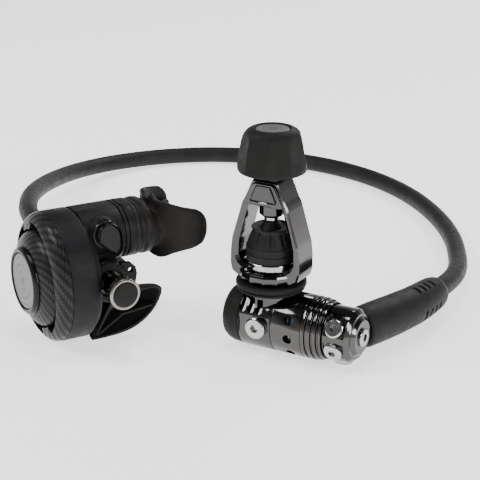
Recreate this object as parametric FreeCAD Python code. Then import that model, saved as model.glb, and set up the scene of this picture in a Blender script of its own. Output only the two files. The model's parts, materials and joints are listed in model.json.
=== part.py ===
import FreeCAD, Part
import math
import os

# Scuba regulator set: a yoke first stage lying on its barrel, a low-pressure
# hose looped behind it, and a second stage standing on its exhaust tee.
# Millimetres, +Z up, the table is z = 0.

V = FreeCAD.Vector

# ---------------------------------------------------------------- dimensions

# First stage, drawn about its own centre: the barrel runs along x and the
# yoke screw along z, and both axes cross at (0, 0, 0).
BARREL_R = 19.2
FIRST_AT = V(51.4, 21.5, BARREL_R)
BODY_X0, BODY_X1 = -13.2, 29.3     # main body, from the end cap to the piston cap
STUB_X0, STUB_R = -20.5, 12.8      # hidden end of the body, inside the end cap
CAP_END_X = -26.0
CHAMBER_X0, CHAMBER_R = 12.5, 15.5  # spring chamber, open to the water
HOLE_X, HOLE_R, HOLES = 21.0, 2.9, 10
PISTON_CAP_X1 = 42.1
TURRET_X0, TURRET_R, NOSE_X = 42.4, 16.3, 61.6
BOLT_R, BOLT_HEAD_R, BOLT_END_X = 4.4, 5.7, 63.3
PORT_X, PORT_R, PORT_FLAT = 50.0, 4.8, 15.4
LP_PORT_ANGLES = (150.0, 201.0, 270.0)   # about +x, from +y towards +z

# Yoke, from the top of the body's neck upwards
NECK_R, NECK_TOP = 15.0, 25.8
YOKE_DEPTH = 20.0
YOKE_BASE_TOP, YOKE_WINDOW_TOP, YOKE_TOP = 33.4, 73.2, 89.6
RETAINER_TOP = 38.7
SCREW_R, SCREW_TOP = 4.7, 113.0
TIP_Z = 63.2
KNOB_Z, KNOB_TOP, KNOB_R, FLUTES = 93.3, 119.8, 20.8, 9
FLUTE_TURN = -10.0                 # where the first hollow faces, about z

# Hose, its end fittings and the sleeve over its first stretch
HOSE_R = 6.6
FERRULE_R = 8.4
PORT_TILT = 17.0                   # the hose port leans towards the nose
HOSE_BASE = V(50.0, 12.0, 0.0)     # root of the hose fitting, first-stage frame
FERRULE_END = 26.0                 # from the root to the hose's first face
SLEEVE_R = 11.2
SLEEVE_EDGES = 5                   # runs and arcs of the hose inside the sleeve
SLOT_START, SLOT_PITCH = 13.0, 5.7
SLOT_ANGLES = (-15, 75, 165, 255)

# Second stage, drawn about the centre of its case: x out of the front cover,
# y along the valve towards its knob, z up.
SECOND_AT = V(-65.2, -22.8, 41.0)
SECOND_TURN = 239.0                # where its x points, about z
CASE_R = 39.4
BAND_R = 40.6
TUBE_W, TUBE_H, TUBE_Z, TUBE_X = 42.0, 34.0, 23.6, -36.0
STUB_W, STUB_H, STUB_X = 36.0, 28.0, -46.0
VALVE_X, VALVE_Z, VALVE_R = -12.0, 1.3, 7.4
BOSS_R, BOSS_Y = 12.0, 33.0
INLET_Y, HOSE_Y = -39.4, -62.0
EXHAUST_Z, EXHAUST_R = -24.0, 11.0
PURGE_R = 30.2
OPENING_LONG, OPENING_SHORT, BRIDGE_ANGLE = 35.2, 30.7, 112.0
DOME_X, EMBLEM_X, EMBLEM_R = 29.6, 32.0, 17.6
LEVER_AT = (-14.0, 29.5)           # venturi lever's pivot, x and z
MOUTH_R, MOUTH_X = 29.2, -79.6     # dental arch of the mouthpiece
KNOB_Y, KNOB_RING_R = 47.0, 9.7

# Hose route on the table: chosen points, joined by runs and tangent arcs.
ROUTE = [
    (109.0, 58.4, 19.2), (114.3, 75.6, 19.2), (118.4, 100.4, 17.6),
    (120.0, 134.4, 14.9), (115.2, 168.4, 11.8), (101.0, 204.4, 8.6),
    (82.2, 242.4, 6.9), (55.2, 280.4, 6.6), (17.4, 318.4, 6.6),
    (-26.6, 346.0, 6.6), (-76.4, 360.6, 6.6), (-128.2, 359.4, 6.6),
    (-176.6, 344.0, 6.6), (-214.8, 314.0, 6.8), (-238.0, 273.2, 8.6),
    (-242.3, 229.2, 13.0), (-231.4, 184.0, 20.4), (-212.0, 135.6, 29.2),
    (-186.6, 88.6, 37.4), (-149.9, 42.1, 42.0), (-112.2, 19.4, 42.3),
]


# ------------------------------------------------------------------- helpers

def turned(profile, axis="x", at=(0, 0, 0)):
    """Solid of revolution; profile is (distance along the axis, radius)."""
    points = [V(a, 0, r) for a, r in profile]
    face = Part.Face(Part.makePolygon(points + points[:1]))
    solid = face.revolve(V(0, 0, 0), V(1, 0, 0), 360)
    return laid(solid, axis, at)


def laid(solid, axis, at=(0, 0, 0)):
    """Turn a solid built along x so that it lies along the given axis."""
    if axis == "y":
        solid.rotate(V(0, 0, 0), V(0, 0, 1), 90)
    elif axis == "z":
        solid.rotate(V(0, 0, 0), V(0, 1, 0), -90)
    solid.translate(V(*at))
    return solid


def rod(radius, start, end, axis="x", at=(0, 0, 0)):
    solid = Part.makeCylinder(radius, end - start, V(start, 0, 0), V(1, 0, 0))
    return laid(solid, axis, at)


def tube(outer, inner, start, end, axis="x", at=(0, 0, 0)):
    return rod(outer, start, end, axis, at).cut(rod(inner, start - 1, end + 1, axis, at))


def hexagon(flats, start, end, axis="x", at=(0, 0, 0)):
    corner = flats / math.sqrt(3)
    points = [V(start, corner * math.cos(math.radians(60 * i)),
                corner * math.sin(math.radians(60 * i))) for i in range(6)]
    face = Part.Face(Part.makePolygon(points + points[:1]))
    return laid(face.extrude(V(end - start, 0, 0)), axis, at)


def block(x0, x1, y0, y1, z0, z1):
    return Part.makeBox(x1 - x0, y1 - y0, z1 - z0, V(x0, y0, z0))


def stadium(width, height, x0, x1, z):
    """Bar along x whose section is a flat-sided oval, wider in y than in z."""
    r, half = height / 2, (width - height) / 2
    bar = block(x0, x1, -half, half, z - r, z + r)
    ends = [rod(r, x0, x1, "x", (0, side * half, z)) for side in (-1, 1)]
    return bar.fuse(ends).removeSplitter()


def oval_ring(width, height, inner_width, inner_height, x0, x1):
    """Ring round the breathing tube between two flat-sided ovals."""
    inner = stadium(inner_width, inner_height, x0 - 1, x1 + 1, TUBE_Z)
    return stadium(width, height, x0, x1, TUBE_Z).cut(inner)


def extruded(points, y0, y1):
    """Plate between y0 and y1 with an outline of (x, z) points."""
    corners = [V(x, y0, z) for x, z in points]
    return Part.Face(Part.makePolygon(corners + corners[:1])).extrude(V(0, y1 - y0, 0))


def mirrored(half):
    """Close an outline of (x, z) points on x > 0 with its mirror image."""
    return half + [(-x, z) for x, z in reversed(half)]


def about_x(solid, angle):
    turned_solid = solid.copy()
    turned_solid.rotate(V(0, 0, 0), V(1, 0, 0), angle)
    return turned_solid


def coil(mean_r, wire_r, start, end, turns, axis, at=(0, 0, 0)):
    """Round-wire spring whose wire lies between start and end."""
    pitch = (end - start - 2 * wire_r) / turns
    helix = Part.makeHelix(pitch, pitch * turns, mean_r)
    section = Part.Wire(Part.makeCircle(wire_r, V(mean_r, 0, 0), V(0, 1, 0)))
    solid = Part.Wire(helix).makePipeShell([section], True, True)
    solid.rotate(V(0, 0, 0), V(0, 1, 0), 90)
    solid.translate(V(start + wire_r, 0, 0))
    return laid(solid, axis, at)


def socket_plug(head_r, head_h, stem_r, stem_l, flats):
    """Plug along x with its shoulder at 0, its head outwards and a hex socket."""
    plug = turned([(-stem_l, 0), (-stem_l, stem_r), (0, stem_r), (0, head_r),
                   (head_h - 0.7, head_r), (head_h, head_r - 0.9), (head_h, 0)])
    return plug.cut(hexagon(flats, head_h - 2.3, head_h + 1))


def rounded_path(points):
    """Straight runs joined by tangent arcs; returns the wire and its tightest bend."""
    edges, tightest, start = [], None, points[0]
    for before, here, after in zip(points, points[1:], points[2:]):
        into = (here - before).normalize()
        out = (after - here).normalize()
        half = into.getAngle(out) / 2
        trim = 0.45 * min((here - before).Length, (after - here).Length)
        radius = trim / math.tan(half)
        tightest = min(radius, tightest or radius)
        first, last = here - into * trim, here + out * trim
        towards = (out - into).normalize()
        middle = here + towards * (radius / math.cos(half) - radius)
        edges.append(Part.LineSegment(start, first).toShape())
        edges.append(Part.Arc(first, middle, last).toShape())
        start = last
    edges.append(Part.LineSegment(start, points[-1]).toShape())
    return Part.Wire(edges), tightest


def swept(wire, radius):
    start = wire.Edges[0].firstVertex().Point
    section = Part.Wire(Part.makeCircle(radius, start, wire.Edges[0].tangentAt(0)))
    return wire.makePipeShell([section], True, True)


def hose_direction():
    tilt = math.radians(PORT_TILT)
    return V(math.sin(tilt), math.cos(tilt), 0)


def on_hose_port(solid):
    """Lay a solid built along x onto the tilted hose port."""
    solid.rotate(V(0, 0, 0), V(0, 0, 1), 90 - PORT_TILT)
    solid.translate(HOSE_BASE)
    return solid


# --------------------------------------------------------------- first stage

def main_body():
    body = turned([(STUB_X0, 0), (STUB_X0, STUB_R - 0.8), (STUB_X0 + 0.8, STUB_R),
                   (BODY_X0, STUB_R), (BODY_X0, 18.5), (BODY_X0 + 0.7, BARREL_R),
                   (8.9, BARREL_R), (9.2, 18.6), (9.8, 18.6), (10.1, BARREL_R),
                   (BODY_X1, BARREL_R), (BODY_X1, 0)])
    body = body.fuse(rod(NECK_R, 0, NECK_TOP, "z"))
    hollows = [
        rod(CHAMBER_R, CHAMBER_X0, BODY_X1 + 1),
        rod(3.2, 9, CHAMBER_X0 + 1),
        rod(6.0, -9, 10.5),
        rod(7.05, STUB_X0 - 1, -9),
        rod(9.05, 21.2, NECK_TOP + 1, "z"),
        rod(3.0, 0, 22, "z"),
    ]
    for side in (-1, 1):
        hollows.append(block(-12.3, 8.3, side * 19 - 1, side * 19 + 1, -14, 14))
        hollows.append(rod(5.6, 5, 20, "y") if side > 0 else rod(5.6, -20, -5, "y"))
    for i in range(HOLES):
        hole = rod(HOLE_R, CHAMBER_R - 1, BARREL_R + 1, "y", (HOLE_X, 0, 0))
        hollows.append(about_x(hole, 10 + 360 / HOLES * i))
    for x in (-10.4, -4.9, 0.6):
        hollows += [milled_slot(x, 139), milled_slot(x, 41)]
    return body.cut(hollows)


def milled_slot(x, angle):
    """Short round-ended groove across the barrel, over the high-pressure port."""
    depth, half = 2.4, 3.6
    cutter = block(x - 1.9, x + 1.9, BARREL_R - depth, BARREL_R + 3, -half, half)
    ends = [rod(1.9, BARREL_R - depth, BARREL_R + 3, "y", (x, 0, side * half)) for side in (-1, 1)]
    return about_x(cutter.fuse(ends), angle)


def end_cap():
    cap = turned([(CAP_END_X, 0), (CAP_END_X, 14.2), (CAP_END_X + 1.2, 16.2),
                  (CAP_END_X + 3.4, 17.6), (CAP_END_X + 6.5, 18.5), (BODY_X0 - 0.15, 18.9),
                  (BODY_X0 - 0.15, 0)])
    dish = rod(10.5, CAP_END_X - 1, CAP_END_X + 1.0)
    stub = rod(STUB_R + 0.1, STUB_X0 - 0.2, BODY_X0 + 1)
    return cap.cut([stub, dish, rod(NECK_R + 0.2, 0, 40, "z")])


def seat_plug():
    plug = rod(7.0, STUB_X0 + 0.3, -9.05)
    return plug.cut([hexagon(8, STUB_X0 - 1, STUB_X0 + 4.5), rod(4.65, -10.9, -8)])


def valve_seat():
    return turned([(-10.8, 0), (-10.8, 4.6), (-7.2, 4.6), (-6.4, 3.9), (-6.4, 0)])


def high_port_plugs():
    plugs = []
    for side, turn in ((-1, -90), (1, 90)):
        plug = socket_plug(6.6, 3.4, 5.5, 8, 5.0)
        plug.translate(V(18.1, 0, 0))
        plug.rotate(V(0, 0, 0), V(0, 0, 1), turn)
        plugs.append(plug)
    return Part.makeCompound(plugs)


def piston():
    head = turned([(33.2, 0), (33.2, 15.4), (34.3, 15.4), (34.3, 14.0), (35.7, 14.0),
                   (35.7, 15.4), (36.8, 15.4), (36.8, 0)])
    stem = turned([(-4.2, 0), (-4.2, 2.2), (-3.4, 3.1), (33.4, 3.1), (33.4, 0)])
    return head.fuse(stem).removeSplitter().cut(rod(1.6, -6, 38))


def piston_seal():
    return tube(15.35, 14.05, 34.35, 35.65)


def main_spring():
    return coil(10.6, 1.35, CHAMBER_X0 + 0.2, 33.0, 5.5, "x")


def spring_bushing():
    """Blue insulating segment between the spring and the wall, behind one hole."""
    ring = tube(CHAMBER_R - 0.2, 12.4, HOLE_X + 0.4, HOLE_X + 4.4)
    wedge = about_x(block(0, 60, 8, 20, -2.6, 2.6), 154)
    return ring.common(wedge)


def piston_cap():
    cap = turned([(29.5, 0), (29.5, BARREL_R), (31.8, BARREL_R), (32.1, 17.9), (33.0, 17.9),
                  (33.3, 19.1), (35.7, 19.1), (36.0, 17.7), (36.9, 17.7), (37.2, 18.7),
                  (39.1, 18.5), (39.4, 17.0), (40.2, 17.0), (40.5, 17.7), (PISTON_CAP_X1, 17.4),
                  (PISTON_CAP_X1, 0)])
    return cap.cut([rod(15.45, 29, 38.4), rod(BOLT_R + 0.03, 38, 43)])


def turret():
    body = turned([(TURRET_X0, 0), (TURRET_X0, TURRET_R - 0.5), (TURRET_X0 + 0.5, TURRET_R),
                   (56.8, TURRET_R), (59.4, 13.9), (59.4, 12.4), (NOSE_X, 10.2), (NOSE_X, 0)])
    hollows = [rod(BOLT_R + 0.05, 40, 65), rod(7.4, 47, 53)]
    for angle in LP_PORT_ANGLES:
        pocket = block(PORT_X - 6.6, PORT_X + 6.6, PORT_FLAT, 20, -6.6, 6.6)
        port = rod(PORT_R, 5, 20, "y", (PORT_X, 0, 0))
        hollows += [about_x(pocket, angle), about_x(port, angle)]
    hollows.append(on_hose_port(block(3.6, 20, -9, 9, -9, 9)))
    hollows.append(on_hose_port(rod(PORT_R, -6, 8)))
    return body.cut(hollows)


def turret_bolt():
    shank = rod(BOLT_R, 38.4, NOSE_X + 0.1)
    head = turned([(NOSE_X + 0.1, 0), (NOSE_X + 0.1, BOLT_HEAD_R), (BOLT_END_X - 0.6, BOLT_HEAD_R),
                   (BOLT_END_X, BOLT_HEAD_R - 0.8), (BOLT_END_X, 0)])
    gallery = [rod(2.4, 38, 54)]
    gallery += [about_x(rod(1.3, 0, 6, "y", (PORT_X, 0, 0)), a) for a in (0, 90, 180, 270)]
    return shank.fuse(head).cut(gallery + [hexagon(4.6, BOLT_END_X - 2.4, 70)])


def low_port_plugs():
    plugs = []
    for angle in LP_PORT_ANGLES:
        plug = socket_plug(5.8, 3.2, PORT_R - 0.05, 7, 4.2)
        plug.rotate(V(0, 0, 0), V(0, 0, 1), 90)
        plug.translate(V(PORT_X, PORT_FLAT + 0.1, 0))
        plugs.append(about_x(plug, angle))
    return Part.makeCompound(plugs)


def yoke_collar():
    return turned([(19.7, NECK_R + 0.1), (19.7, 19.6), (20.5, 20.6), (21.4, 20.6), (21.8, 19.9),
                   (22.4, 19.9), (22.8, 21.5), (25.0, 21.5), (25.7, 20.8), (25.7, NECK_R + 0.1)],
                  "z")


def yoke():
    outline = mirrored([(16.5, 26.0), (22.0, 29.5), (23.3, 34.0), (23.3, 43.0), (22.4, 51.0),
                        (15.2, 75.0), (13.8, 77.0), (8.6, YOKE_TOP - 1.0), (7.6, YOKE_TOP)])
    window = mirrored([(11.0, YOKE_BASE_TOP), (16.6, 37.2), (18.4, 41.0), (17.8, 50.0),
                       (11.4, YOKE_WINDOW_TOP)])
    half = YOKE_DEPTH / 2
    frame = extruded(outline, -half, half).cut(extruded(window, -half - 1, half + 1))
    for side in (-1, 1):
        frame = frame.cut(window_bevel(window, side * half, side))
    plate = extruded(mirrored([(14.4, 74.4), (6.4, 88.6)]), -half - 1.6, -half + 0.5)
    boss = turned([(66.2, 0), (66.2, 6.6), (67.2, 7.6), (74, 7.6), (74, 0)], "z")
    base = turned([(26.0, 0), (26.0, 17.4), (27.8, 19.2), (31.8, 19.4), (YOKE_BASE_TOP, 18.0),
                   (YOKE_BASE_TOP, 0)], "z")
    frame = frame.fuse([plate, boss, base]).removeSplitter()
    recess = extruded(mirrored([(8.4, 77.0), (4.2, 86.6)]), -half - 3, -half - 0.5)
    seat = rod(15.2, YOKE_BASE_TOP, RETAINER_TOP + 0.3, "z")
    return frame.cut([recess, seat, rod(9.1, 20, 40, "z"), rod(SCREW_R + 0.08, 60, 95, "z")])


def window_bevel(window, y, side):
    """Chamfer all round one mouth of the yoke's window."""
    inner = [V(x, y - side * 1.6, z) for x, z in window]
    outer = [V(x, y + side * 0.4, z) + V(x, 0, z - 53.0).normalize() * 1.9 for x, z in window]
    wires = [Part.makePolygon(ring + ring[:1]) for ring in (inner, outer)]
    return Part.makeLoft(wires, True, True)


def yoke_badge():
    half = YOKE_DEPTH / 2
    return extruded(mirrored([(8.2, 77.15), (4.1, 86.45)]), -half - 1.3, -half - 0.6)


def yoke_retainer():
    nut = turned([(21.4, 0), (21.4, 9.0), (33.5, 9.0), (33.5, 14.2), (34.3, 15.0),
                  (RETAINER_TOP - 0.8, 15.0), (RETAINER_TOP, 14.2), (RETAINER_TOP, 0)], "z")
    return nut.cut([rod(4.0, 20, 40, "z"), rod(6.6, 36.2, 40, "z")])


def inlet_filter():
    return turned([(36.3, 0), (36.3, 6.5), (37.2, 6.5), (38.2, 3.0), (38.2, 0)], "z")


def yoke_screw():
    screw = turned([(65.4, 0), (65.4, SCREW_R - 0.6), (66.0, SCREW_R), (SCREW_TOP, SCREW_R),
                    (SCREW_TOP, 0)], "z")
    return screw.cut(rod(1.6, 60, 68.4, "z"))


def screw_tip():
    pad = turned([(TIP_Z, 0), (TIP_Z, 4.0), (TIP_Z + 0.5, SCREW_R), (65.2, SCREW_R),
                  (65.2, 0)], "z")
    return pad.fuse(rod(1.5, 65.1, 68.0, "z"))


def yoke_knob():
    knob = turned([(KNOB_Z, 0), (KNOB_Z, 19.4), (KNOB_Z + 0.7, 20.3), (KNOB_Z + 2.2, KNOB_R),
                   (KNOB_Z + 6.5, 20.6), (KNOB_Z + 16.5, 19.0), (KNOB_Z + 22.0, 17.6),
                   (KNOB_TOP - 2.2, 16.0), (KNOB_TOP - 0.7, 13.8), (KNOB_TOP, 12.0),
                   (KNOB_TOP, 0)], "z")
    cutters = [rod(SCREW_R + 0.03, 80, SCREW_TOP + 0.1, "z"), rod(10.3, KNOB_TOP - 2.1, 125, "z"),
               tube(17.6, 9.0, KNOB_Z - 1, KNOB_Z + 4.5, "z")]
    lean = math.degrees(math.atan2(KNOB_R - 17.6, 19.5))
    for i in range(FLUTES):
        flute = Part.makeCylinder(24, 60, V(KNOB_R + 23.0, 0, -30))
        flute.rotate(V(KNOB_R, 0, 0), V(0, 1, 0), -lean)
        flute.translate(V(0, 0, KNOB_Z + 2.5))
        flute.rotate(V(0, 0, 0), V(0, 0, 1), 360 / FLUTES * i + FLUTE_TURN)
        cutters.append(flute)
    return knob.cut(cutters)


def knob_disc():
    low, high = KNOB_TOP - 2.0, KNOB_TOP - 0.6
    return turned([(low, 0), (low, 10.2), (high - 0.4, 10.2), (high, 9.6), (high, 0)], "z")


def dust_cap():
    cap = turned([(38.9, 0), (38.9, 15.2), (43.2, 15.4), (43.7, 14.7), (44.5, 14.7), (45.0, 15.4),
                  (47.8, 15.3), (48.3, 14.4), (48.9, 14.4), (57.2, 11.2), (58.6, 11.6),
                  (59.2, 10.8), (57.9, 7.0), (62.9, 4.3), (62.9, 0)], "z")
    ribs = []
    for i in range(10):
        groove = block(13.0, 20, -0.8, 0.8, 49.6, 57.0)
        groove.rotate(V(13.0, 0, 53.0), V(0, 1, 0), -21)
        groove.rotate(V(0, 0, 0), V(0, 0, 1), 36 * i + 12)
        ribs.append(groove)
    return cap.cut(ribs)


# --------------------------------------------------------------------- hose

def hose_fitting():
    """Threaded end, hexagon and nipple of the hose at the turret."""
    thread = rod(PORT_R - 0.05, -1.5, 3.8)
    flange = turned([(3.7, 0), (3.7, 7.4), (5.4, 7.4), (5.4, 0)])
    return on_hose_port(thread.fuse([flange, hexagon(13.6, 5.4, 13.6)]))


def first_ferrule():
    shell = turned([(13.7, 0), (13.7, FERRULE_R - 0.5), (14.3, FERRULE_R), (FERRULE_END, FERRULE_R),
                    (FERRULE_END, 0)])
    crimps = [tube(FERRULE_R + 1, FERRULE_R - 0.5, t, t + 1.2) for t in (17, 20, 23)]
    return on_hose_port(shell.cut(crimps))


def hose(path):
    return swept(path, HOSE_R)


def hose_protector(path):
    """Rubber sleeve over the ferrule and the first stretch of hose, with bend slots."""
    edges = path.Edges
    root = FIRST_AT + HOSE_BASE
    first = edges[0].firstVertex().Point
    lead = Part.LineSegment(root + hose_direction() * 4.6, first).toShape()
    outer = Part.Wire([lead] + edges[:SLEEVE_EDGES])
    inner = Part.Wire(edges[:SLEEVE_EDGES + 1])
    bore = on_hose_port(rod(FERRULE_R + 0.2, 3, FERRULE_END + 0.6))
    bore.translate(FIRST_AT)
    sleeve = swept(outer, SLEEVE_R).cut([bore, swept(inner, HOSE_R + 0.15)])
    for i in range(4):
        sleeve = sleeve.cut(sleeve_slots(outer, outer.Length - SLOT_START - SLOT_PITCH * i))
    return sleeve


def sleeve_slots(path, distance):
    """Four short slots across the sleeve at one place along it."""
    for edge in path.Edges:
        if distance <= edge.Length:
            break
        distance -= edge.Length
    along = edge.getParameterByLength(distance)
    point, tangent = edge.valueAt(along), edge.tangentAt(along)
    spin = FreeCAD.Rotation(V(1, 0, 0), tangent)
    slots = []
    for angle in SLOT_ANGLES:
        slot = about_x(block(-0.9, 0.9, SLEEVE_R - 2.2, SLEEVE_R + 2, -4.6, 4.6), angle)
        slot.Placement = FreeCAD.Placement(point, spin).multiply(slot.Placement)
        slots.append(slot)
    return slots


# -------------------------------------------------------------- second stage

def valve_axis(solid_maker, *args):
    """Build something along y on the valve's axis."""
    return solid_maker(*args, "y", (VALVE_X, 0, VALVE_Z))


def case():
    drum = turned([(-6.4, 0), (-6.4, 33.0), (-4.6, 37.0), (-2.0, 38.8), (0.6, CASE_R),
                   (12.0, CASE_R), (12.0, 0)])
    barrel = turned([(-BOSS_Y, 0), (-BOSS_Y, 10.2), (-31.0, 11.2), (-24.0, BOSS_R), (26.5, BOSS_R),
                     (27.2, 11.4), (28.6, 11.4), (29.3, 12.4), (31.6, 12.4), (BOSS_Y, 11.0),
                     (BOSS_Y, 0)], "y", (VALVE_X, 0, VALVE_Z))
    tube_part = stadium(TUBE_W, TUBE_H, TUBE_X, -2, TUBE_Z)
    stub = stadium(STUB_W, STUB_H, STUB_X, TUBE_X + 1, TUBE_Z)
    shoulder = block(VALVE_X - 10.0, -4, -19, 19, 0, 18)
    seat = rod(13.6, -11.6, -5, "x", (0, 0, EXHAUST_Z))
    tab = lanyard_tab()
    lever_boss = rod(9.4, 15, 22.4, "y", (LEVER_AT[0], 0, LEVER_AT[1]))
    solid = drum.fuse([barrel, tube_part, stub, shoulder, seat, tab, lever_boss])
    grooves = [oval_ring(TUBE_W + 6, TUBE_H + 6, TUBE_W - 1.8, TUBE_H - 1.8, x, x + 1.1)
               for x in (-31.4, -28.6)]
    hollows = [
        rod(36.4, -3.4, 13),
        stadium(37, 27, TUBE_X + 2, -3, TUBE_Z),
        stadium(31, 23, STUB_X - 1, TUBE_X + 3, TUBE_Z),
        valve_axis(rod, VALVE_R + 0.05, -BOSS_Y - 1, BOSS_Y + 1),
        valve_axis(rod, 8.8, BOSS_Y - 2.4, CASE_R + 1),
        block(-8.4, -2, -20, 4, VALVE_Z - 2.6, VALVE_Z + 2.6),
        rod(1.38, -12, -2, "x", (0, 0, EXHAUST_Z)),
        rod(3.05, 10, 23, "y", (LEVER_AT[0], 0, LEVER_AT[1])),
    ]
    for i in range(6):
        a = math.radians(60 * i)
        at = (0, 6.6 * math.cos(a), EXHAUST_Z + 6.6 * math.sin(a))
        hollows.append(rod(2.6, -12, -2, "x", at))
    return solid.cut(hollows + grooves)


def lanyard_tab():
    """Flat ear beside the knob boss, with the hole for a retaining clip."""
    ear = extruded([(-20, -6), (-20, 12.5), (-26.5, 11.5), (-29.3, 8.6), (-30.2, 4.0),
                    (-29.0, -2.0), (-25, -6.4)], 27.6, 31.0)
    return ear.cut(rod(1.7, 26, 33, "y", (-26.0, 0, 6.9)))


def retaining_band():
    return turned([(-1.4, CASE_R + 0.1), (-1.4, BAND_R - 0.6), (-0.8, BAND_R), (15.4, BAND_R),
                   (15.4, 37.2), (13.4, 37.2), (13.4, 38.9), (12.2, 38.9), (12.2, CASE_R + 0.1)])


def front_grille():
    """Spider under the cover that guides the purge button."""
    ring = tube(37.0, 33.0, 13.5, 15.6)
    hub = tube(9.0, 4.3, 12.9, 16.8)
    spokes = [about_x(block(12.9, 15.1, 8.5, 33.5, -1.8, 1.8), 90 * i + 45) for i in range(4)]
    return ring.fuse([hub] + spokes).cut(rod(4.3, 10, 20)).removeSplitter()


def outer_cover():
    """Domed carbon ring; two bridges narrow the oval opening round the button."""
    ring = turned([(15.6, BAND_R - 0.1), (17.4, 40.3), (19.6, 38.9), (21.6, 36.8), (23.0, 34.2),
                   (23.7, 31.5), (23.6, 29.6), (21.4, 29.6), (21.2, 31.6), (20.2, 34.2),
                   (18.6, 36.4), (17.0, 37.6), (15.6, 37.9)])
    ellipse = Part.Ellipse(V(0, 0, 0), OPENING_LONG, OPENING_SHORT).toShape()
    oval = Part.Face(Part.Wire(ellipse)).extrude(V(0, 0, 20))
    oval.rotate(V(0, 0, 0), V(0, 1, 0), 90)
    oval.rotate(V(0, 0, 0), V(1, 0, 0), BRIDGE_ANGLE + 90)
    oval.translate(V(12, 0, 0))
    bridges = []
    for side in (0, 180):
        bridge = ring.common(about_x(block(10, 30, OPENING_SHORT, 42, -5.5, 5.5), BRIDGE_ANGLE + side))
        bridges.append(bridge)
    return ring.cut([oval, rod(OPENING_SHORT, 12, 30)]).fuse(bridges).removeSplitter()


def purge_button():
    shell = turned([(20.2, PURGE_R - 2.4), (20.2, PURGE_R - 0.3), (21.8, PURGE_R), (23.8, 29.4),
                    (26.2, 27.2), (28.2, 24.4), (29.3, 21.8), (DOME_X, 20.0), (DOME_X, 0),
                    (27.2, 0), (27.2, 19.6), (26.2, 22.8), (24.0, 25.8), (21.8, 27.8)])
    stem = rod(4.2, 10.8, 27.6)
    return shell.fuse(stem).removeSplitter()


def purge_ring():
    return turned([(DOME_X + 0.1, EMBLEM_R + 0.1), (DOME_X + 0.1, 21.4), (31.2, 21.2), (32.4, 19.8),
                   (32.7, 18.8), (32.2, EMBLEM_R + 0.1)])


def purge_emblem():
    back = DOME_X + 0.1
    return turned([(back, 0), (back, EMBLEM_R), (EMBLEM_X - 0.6, EMBLEM_R),
                   (EMBLEM_X, EMBLEM_R - 0.8), (EMBLEM_X, 0)])


def purge_spring():
    return coil(6.6, 0.5, 17.0, 27.0, 5, "x")


def diaphragm():
    return turned([(12.1, 38.8), (13.2, 38.8), (13.2, 36.4), (11.2, 34.6), (11.0, 32.0),
                   (11.8, 29.5), (11.4, 24.0), (10.8, 18.0), (10.4, 14.0), (9.5, 14.0),
                   (9.9, 18.0), (10.5, 24.0), (10.9, 29.5), (10.1, 32.0), (10.3, 35.2),
                   (12.1, 36.4)])


def diaphragm_plate():
    return rod(13.8, 9.4, 10.5)


def demand_lever():
    """Bent strip from the poppet slot up to the diaphragm plate."""
    path = [V(-6.2, -14, 0), V(-2.4, -14, 0), V(2.6, -9.4, 0), V(6.6, -1.5, 0)]
    pieces = []
    for a, b in zip(path, path[1:]):
        run = b - a
        strip = Part.makeBox(run.Length + 0.5, 1.2, 3.2, V(-0.25, -0.6, -1.6))
        strip.rotate(V(0, 0, 0), V(0, 0, 1), math.degrees(math.atan2(run.y, run.x)))
        strip.translate(a)
        pieces.append(strip)
    foot = Part.makeCylinder(1.7, 3.2, V(7.3, 0, -1.6))
    heel = Part.makeCylinder(0.95, 3.2, V(-4.0, -14, -1.6))
    lever = pieces[0].fuse(pieces[1:] + [foot, heel]).removeSplitter()
    lever.translate(V(0, 0, VALVE_Z))
    return lever


def valve_barrel():
    barrel = turned([(INLET_Y - 7.7, 0), (INLET_Y - 7.7, 6.2), (INLET_Y - 7.1, 6.7), (-33.2, 6.7),
                     (-33.2, VALVE_R), (31.0, VALVE_R), (31.0, 0)], "y", (VALVE_X, 0, VALVE_Z))
    hollows = [valve_axis(rod, 5.5, -20, 32), valve_axis(rod, 2.2, INLET_Y - 9, -19),
               block(VALVE_X + 2, -4, -20, 4, VALVE_Z - 2.4, VALVE_Z + 2.4),
               block(VALVE_X - 2, VALVE_X + 2, -14, 10, VALVE_Z, VALVE_Z + 20)]
    return barrel.cut(hollows)


def orifice():
    return turned([(-19.9, 0), (-19.9, 5.3), (-18.0, 5.3), (-18.0, 2.6), (-17.0, 2.0),
                   (-17.0, 0)], "y", (VALVE_X, 0, VALVE_Z)).cut(valve_axis(rod, 1.5, -21, -16))


def poppet():
    return turned([(-16.7, 0), (-16.7, 3.6), (-15.5, 4.4), (-11.0, 4.4), (-11.0, 2.0), (0.0, 2.0),
                   (0.0, 0)], "y", (VALVE_X, 0, VALVE_Z)).cut(
                       block(VALVE_X + 3.2, VALVE_X + 6, -17, -10, -5, 8))


def poppet_spring():
    return coil(3.4, 0.45, -10.8, 11.6, 8, "y", (VALVE_X, 0, VALVE_Z))


def spring_pad():
    return turned([(11.8, 0), (11.8, 5.42), (15.2, 5.42), (15.2, 0)], "y", (VALVE_X, 0, VALVE_Z))


def adjusting_stem():
    stem = turned([(15.5, 0), (15.5, 5.42), (KNOB_Y - 10.6, 5.42), (KNOB_Y - 10.6, 6.7),
                   (KNOB_Y - 9.2, 6.7), (KNOB_Y - 9.2, 6.2), (KNOB_Y + 0.6, 6.2), (KNOB_Y + 0.6, 0)],
                  "y", (VALVE_X, 0, VALVE_Z))
    ring = valve_axis(tube, 7.0, 6.0, KNOB_Y - 7.4, KNOB_Y - 6.2)
    return stem.fuse(ring).removeSplitter()


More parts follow.
